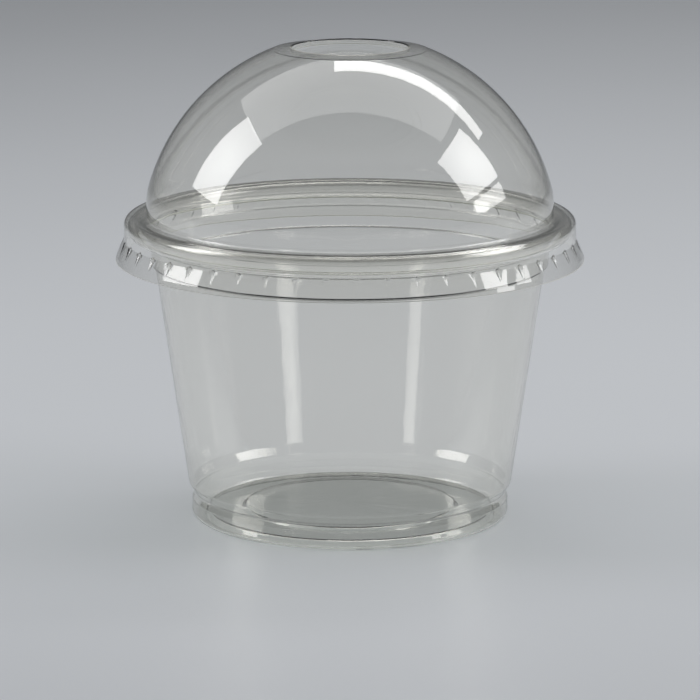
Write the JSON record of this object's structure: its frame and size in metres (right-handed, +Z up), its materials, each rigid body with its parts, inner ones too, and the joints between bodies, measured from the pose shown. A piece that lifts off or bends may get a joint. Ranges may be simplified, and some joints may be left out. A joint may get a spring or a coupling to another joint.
{
  "type": "plastic cup with lid",
  "caption": "Clear squat dessert cup with a rolled rim, and a dome lid that presses on and has a round hole in its crown.",
  "frame": {"origin": "on the table under the centre of the cup's foot", "axes": "+Z up along the axis that cup and lid share; -Y towards the viewer, 1.7 degrees off the nearest snap dent"},
  "size_m": [0.1001, 0.1, 0.1014],
  "materials": {
    "clear_cup": "clear glossy formed sheet",
    "clear_lid": "clear glossy formed sheet"
  },
  "bodies": {
    "cup": {"cup": "clear_cup"},
    "lid": {"lid": "clear_lid"}
  },
  "joints": [
    {"name": "lid_lift", "type": "slide", "parent": "cup", "child": "lid", "axis": [0, 0, 1], "range_m": [0, 0.06]}
  ]
}
